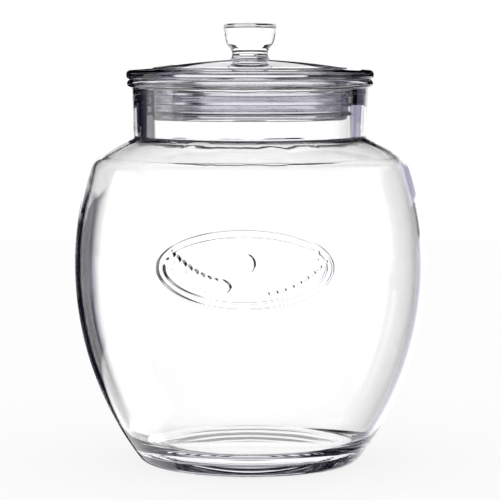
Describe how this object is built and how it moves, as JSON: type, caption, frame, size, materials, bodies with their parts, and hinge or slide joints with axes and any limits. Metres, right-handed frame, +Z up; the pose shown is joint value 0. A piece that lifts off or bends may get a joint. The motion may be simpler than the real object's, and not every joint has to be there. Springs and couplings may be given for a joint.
{
  "type": "glass storage jar",
  "caption": "Clear glass storage jar with a barrel body, thick straight neck and beaded lip, closed by a push-in glass lid with a cup-shaped knob and a finned silicone seal.",
  "frame": {"origin": "middle of the ring that the jar stands on", "axes": "+Z up along the jar's axis of turning; the jar is round, so +X and +Y are free, and the raised medallion of the finished model faces -Y"},
  "size_m": [0.196, 0.196, 0.2455],
  "materials": {
    "jar_glass": "gloss",
    "lid_glass": "gloss",
    "silicone": "satin"
  },
  "bodies": {
    "root": {"jar": "jar_glass", "lid": "lid_glass", "seal": "silicone"}
  },
  "joints": []
}
